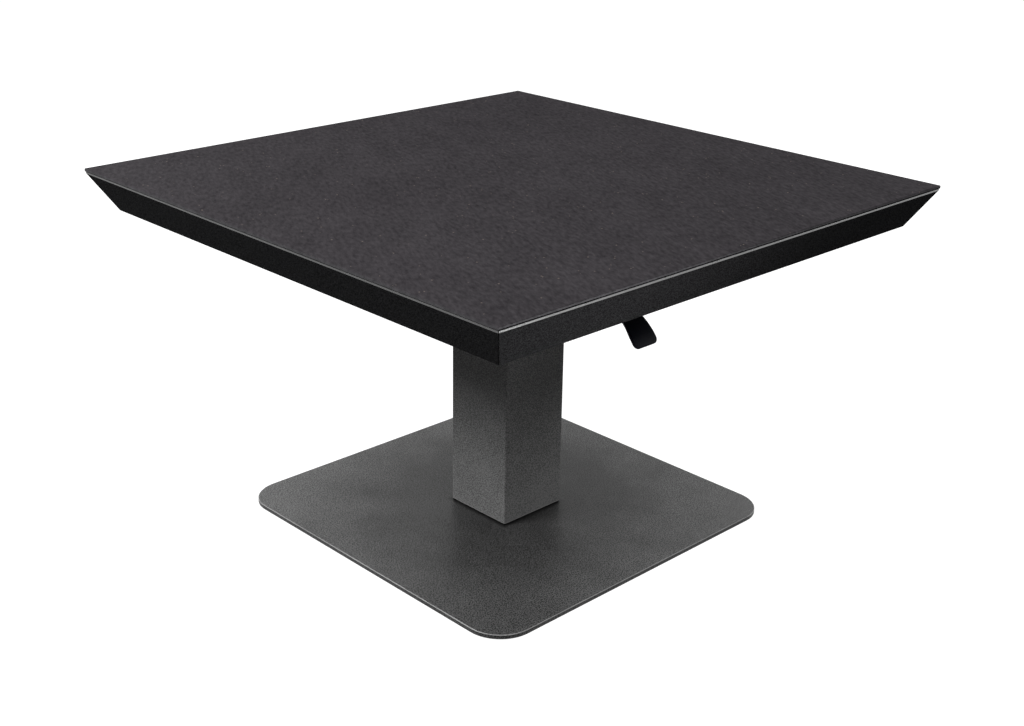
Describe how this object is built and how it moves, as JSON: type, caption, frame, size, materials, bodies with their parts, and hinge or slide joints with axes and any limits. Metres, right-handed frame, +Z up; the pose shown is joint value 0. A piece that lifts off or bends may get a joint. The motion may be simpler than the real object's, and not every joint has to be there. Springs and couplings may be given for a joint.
{
  "type": "telescoping pedestal table",
  "caption": "Square low table: bevelled, metal-framed stone-look top on a square telescoping column that lifts and locks by a hand lever, over a thin square base plate.",
  "frame": {"origin": "on the floor, under the column's axis, with the column down", "axes": "+Z up, the release lever points along -Y, the square top and base are parallel to X and Y"},
  "size_m": [0.8, 0.8, 0.486],
  "materials": {
    "stone_panel": "matte",
    "joint_black": "matte",
    "board": "matte",
    "rail_finish": "satin",
    "powder_coat": "matte",
    "black_steel": "satin",
    "pad_rubber": "matte",
    "glide_plastic": "satin",
    "plated_steel": "satin",
    "bright_steel": "polished",
    "cylinder_paint": "satin",
    "handle_plastic": "satin"
  },
  "bodies": {
    "base": {"base_plate": "powder_coat", "glide_pads": "pad_rubber", "inner_tube": "powder_coat", "tube_foot": "plated_steel", "foot_bolts": "plated_steel", "upper_glide": "glide_plastic", "gas_cylinder": "cylinder_paint", "cylinder_nut": "plated_steel", "rod_guide": "glide_plastic"},
    "top": {"outer_sleeve": "powder_coat", "lower_glide": "glide_plastic", "mounting_plate": "black_steel", "plate_screws": "plated_steel", "core_board": "board", "bonding_sheet": "joint_black", "top_slab": "stone_panel", "front_rail": "rail_finish", "right_rail": "rail_finish", "back_rail": "rail_finish", "left_rail": "rail_finish", "corner_keys": "plated_steel", "release_bracket": "black_steel", "bracket_screws": "plated_steel", "piston_rod": "bright_steel", "piston": "bright_steel", "rod_nuts": "plated_steel", "pivot_pin": "plated_steel", "pivot_clips": "plated_steel", "pivot_spacers": "glide_plastic"},
    "lever": {"lever_arm": "black_steel", "lever_paddle": "handle_plastic", "lever_rivets": "plated_steel"},
    "release_pin": {"valve_pin": "bright_steel"}
  },
  "joints": [
    {"name": "column_slide", "type": "slide", "parent": "base", "child": "top", "axis": [0, 0, 1], "range_m": [0, 0.235]},
    {"name": "lever_pivot", "type": "hinge", "parent": "top", "child": "lever", "pos_m": [0, -0.028, 0.4399], "axis": [-1, 0, 0], "range_deg": [0, 7], "stiffness_Nm_per_rad": 20, "springref_deg": -2.86},
    {"name": "pin_slide", "type": "slide", "parent": "top", "child": "release_pin", "axis": [0, 0, -1], "range_m": [0, 0.0035]}
  ],
  "couplings": [
    {"joint": "pin_slide", "follows": "lever_pivot", "m_per_rad": 0.028}
  ]
}
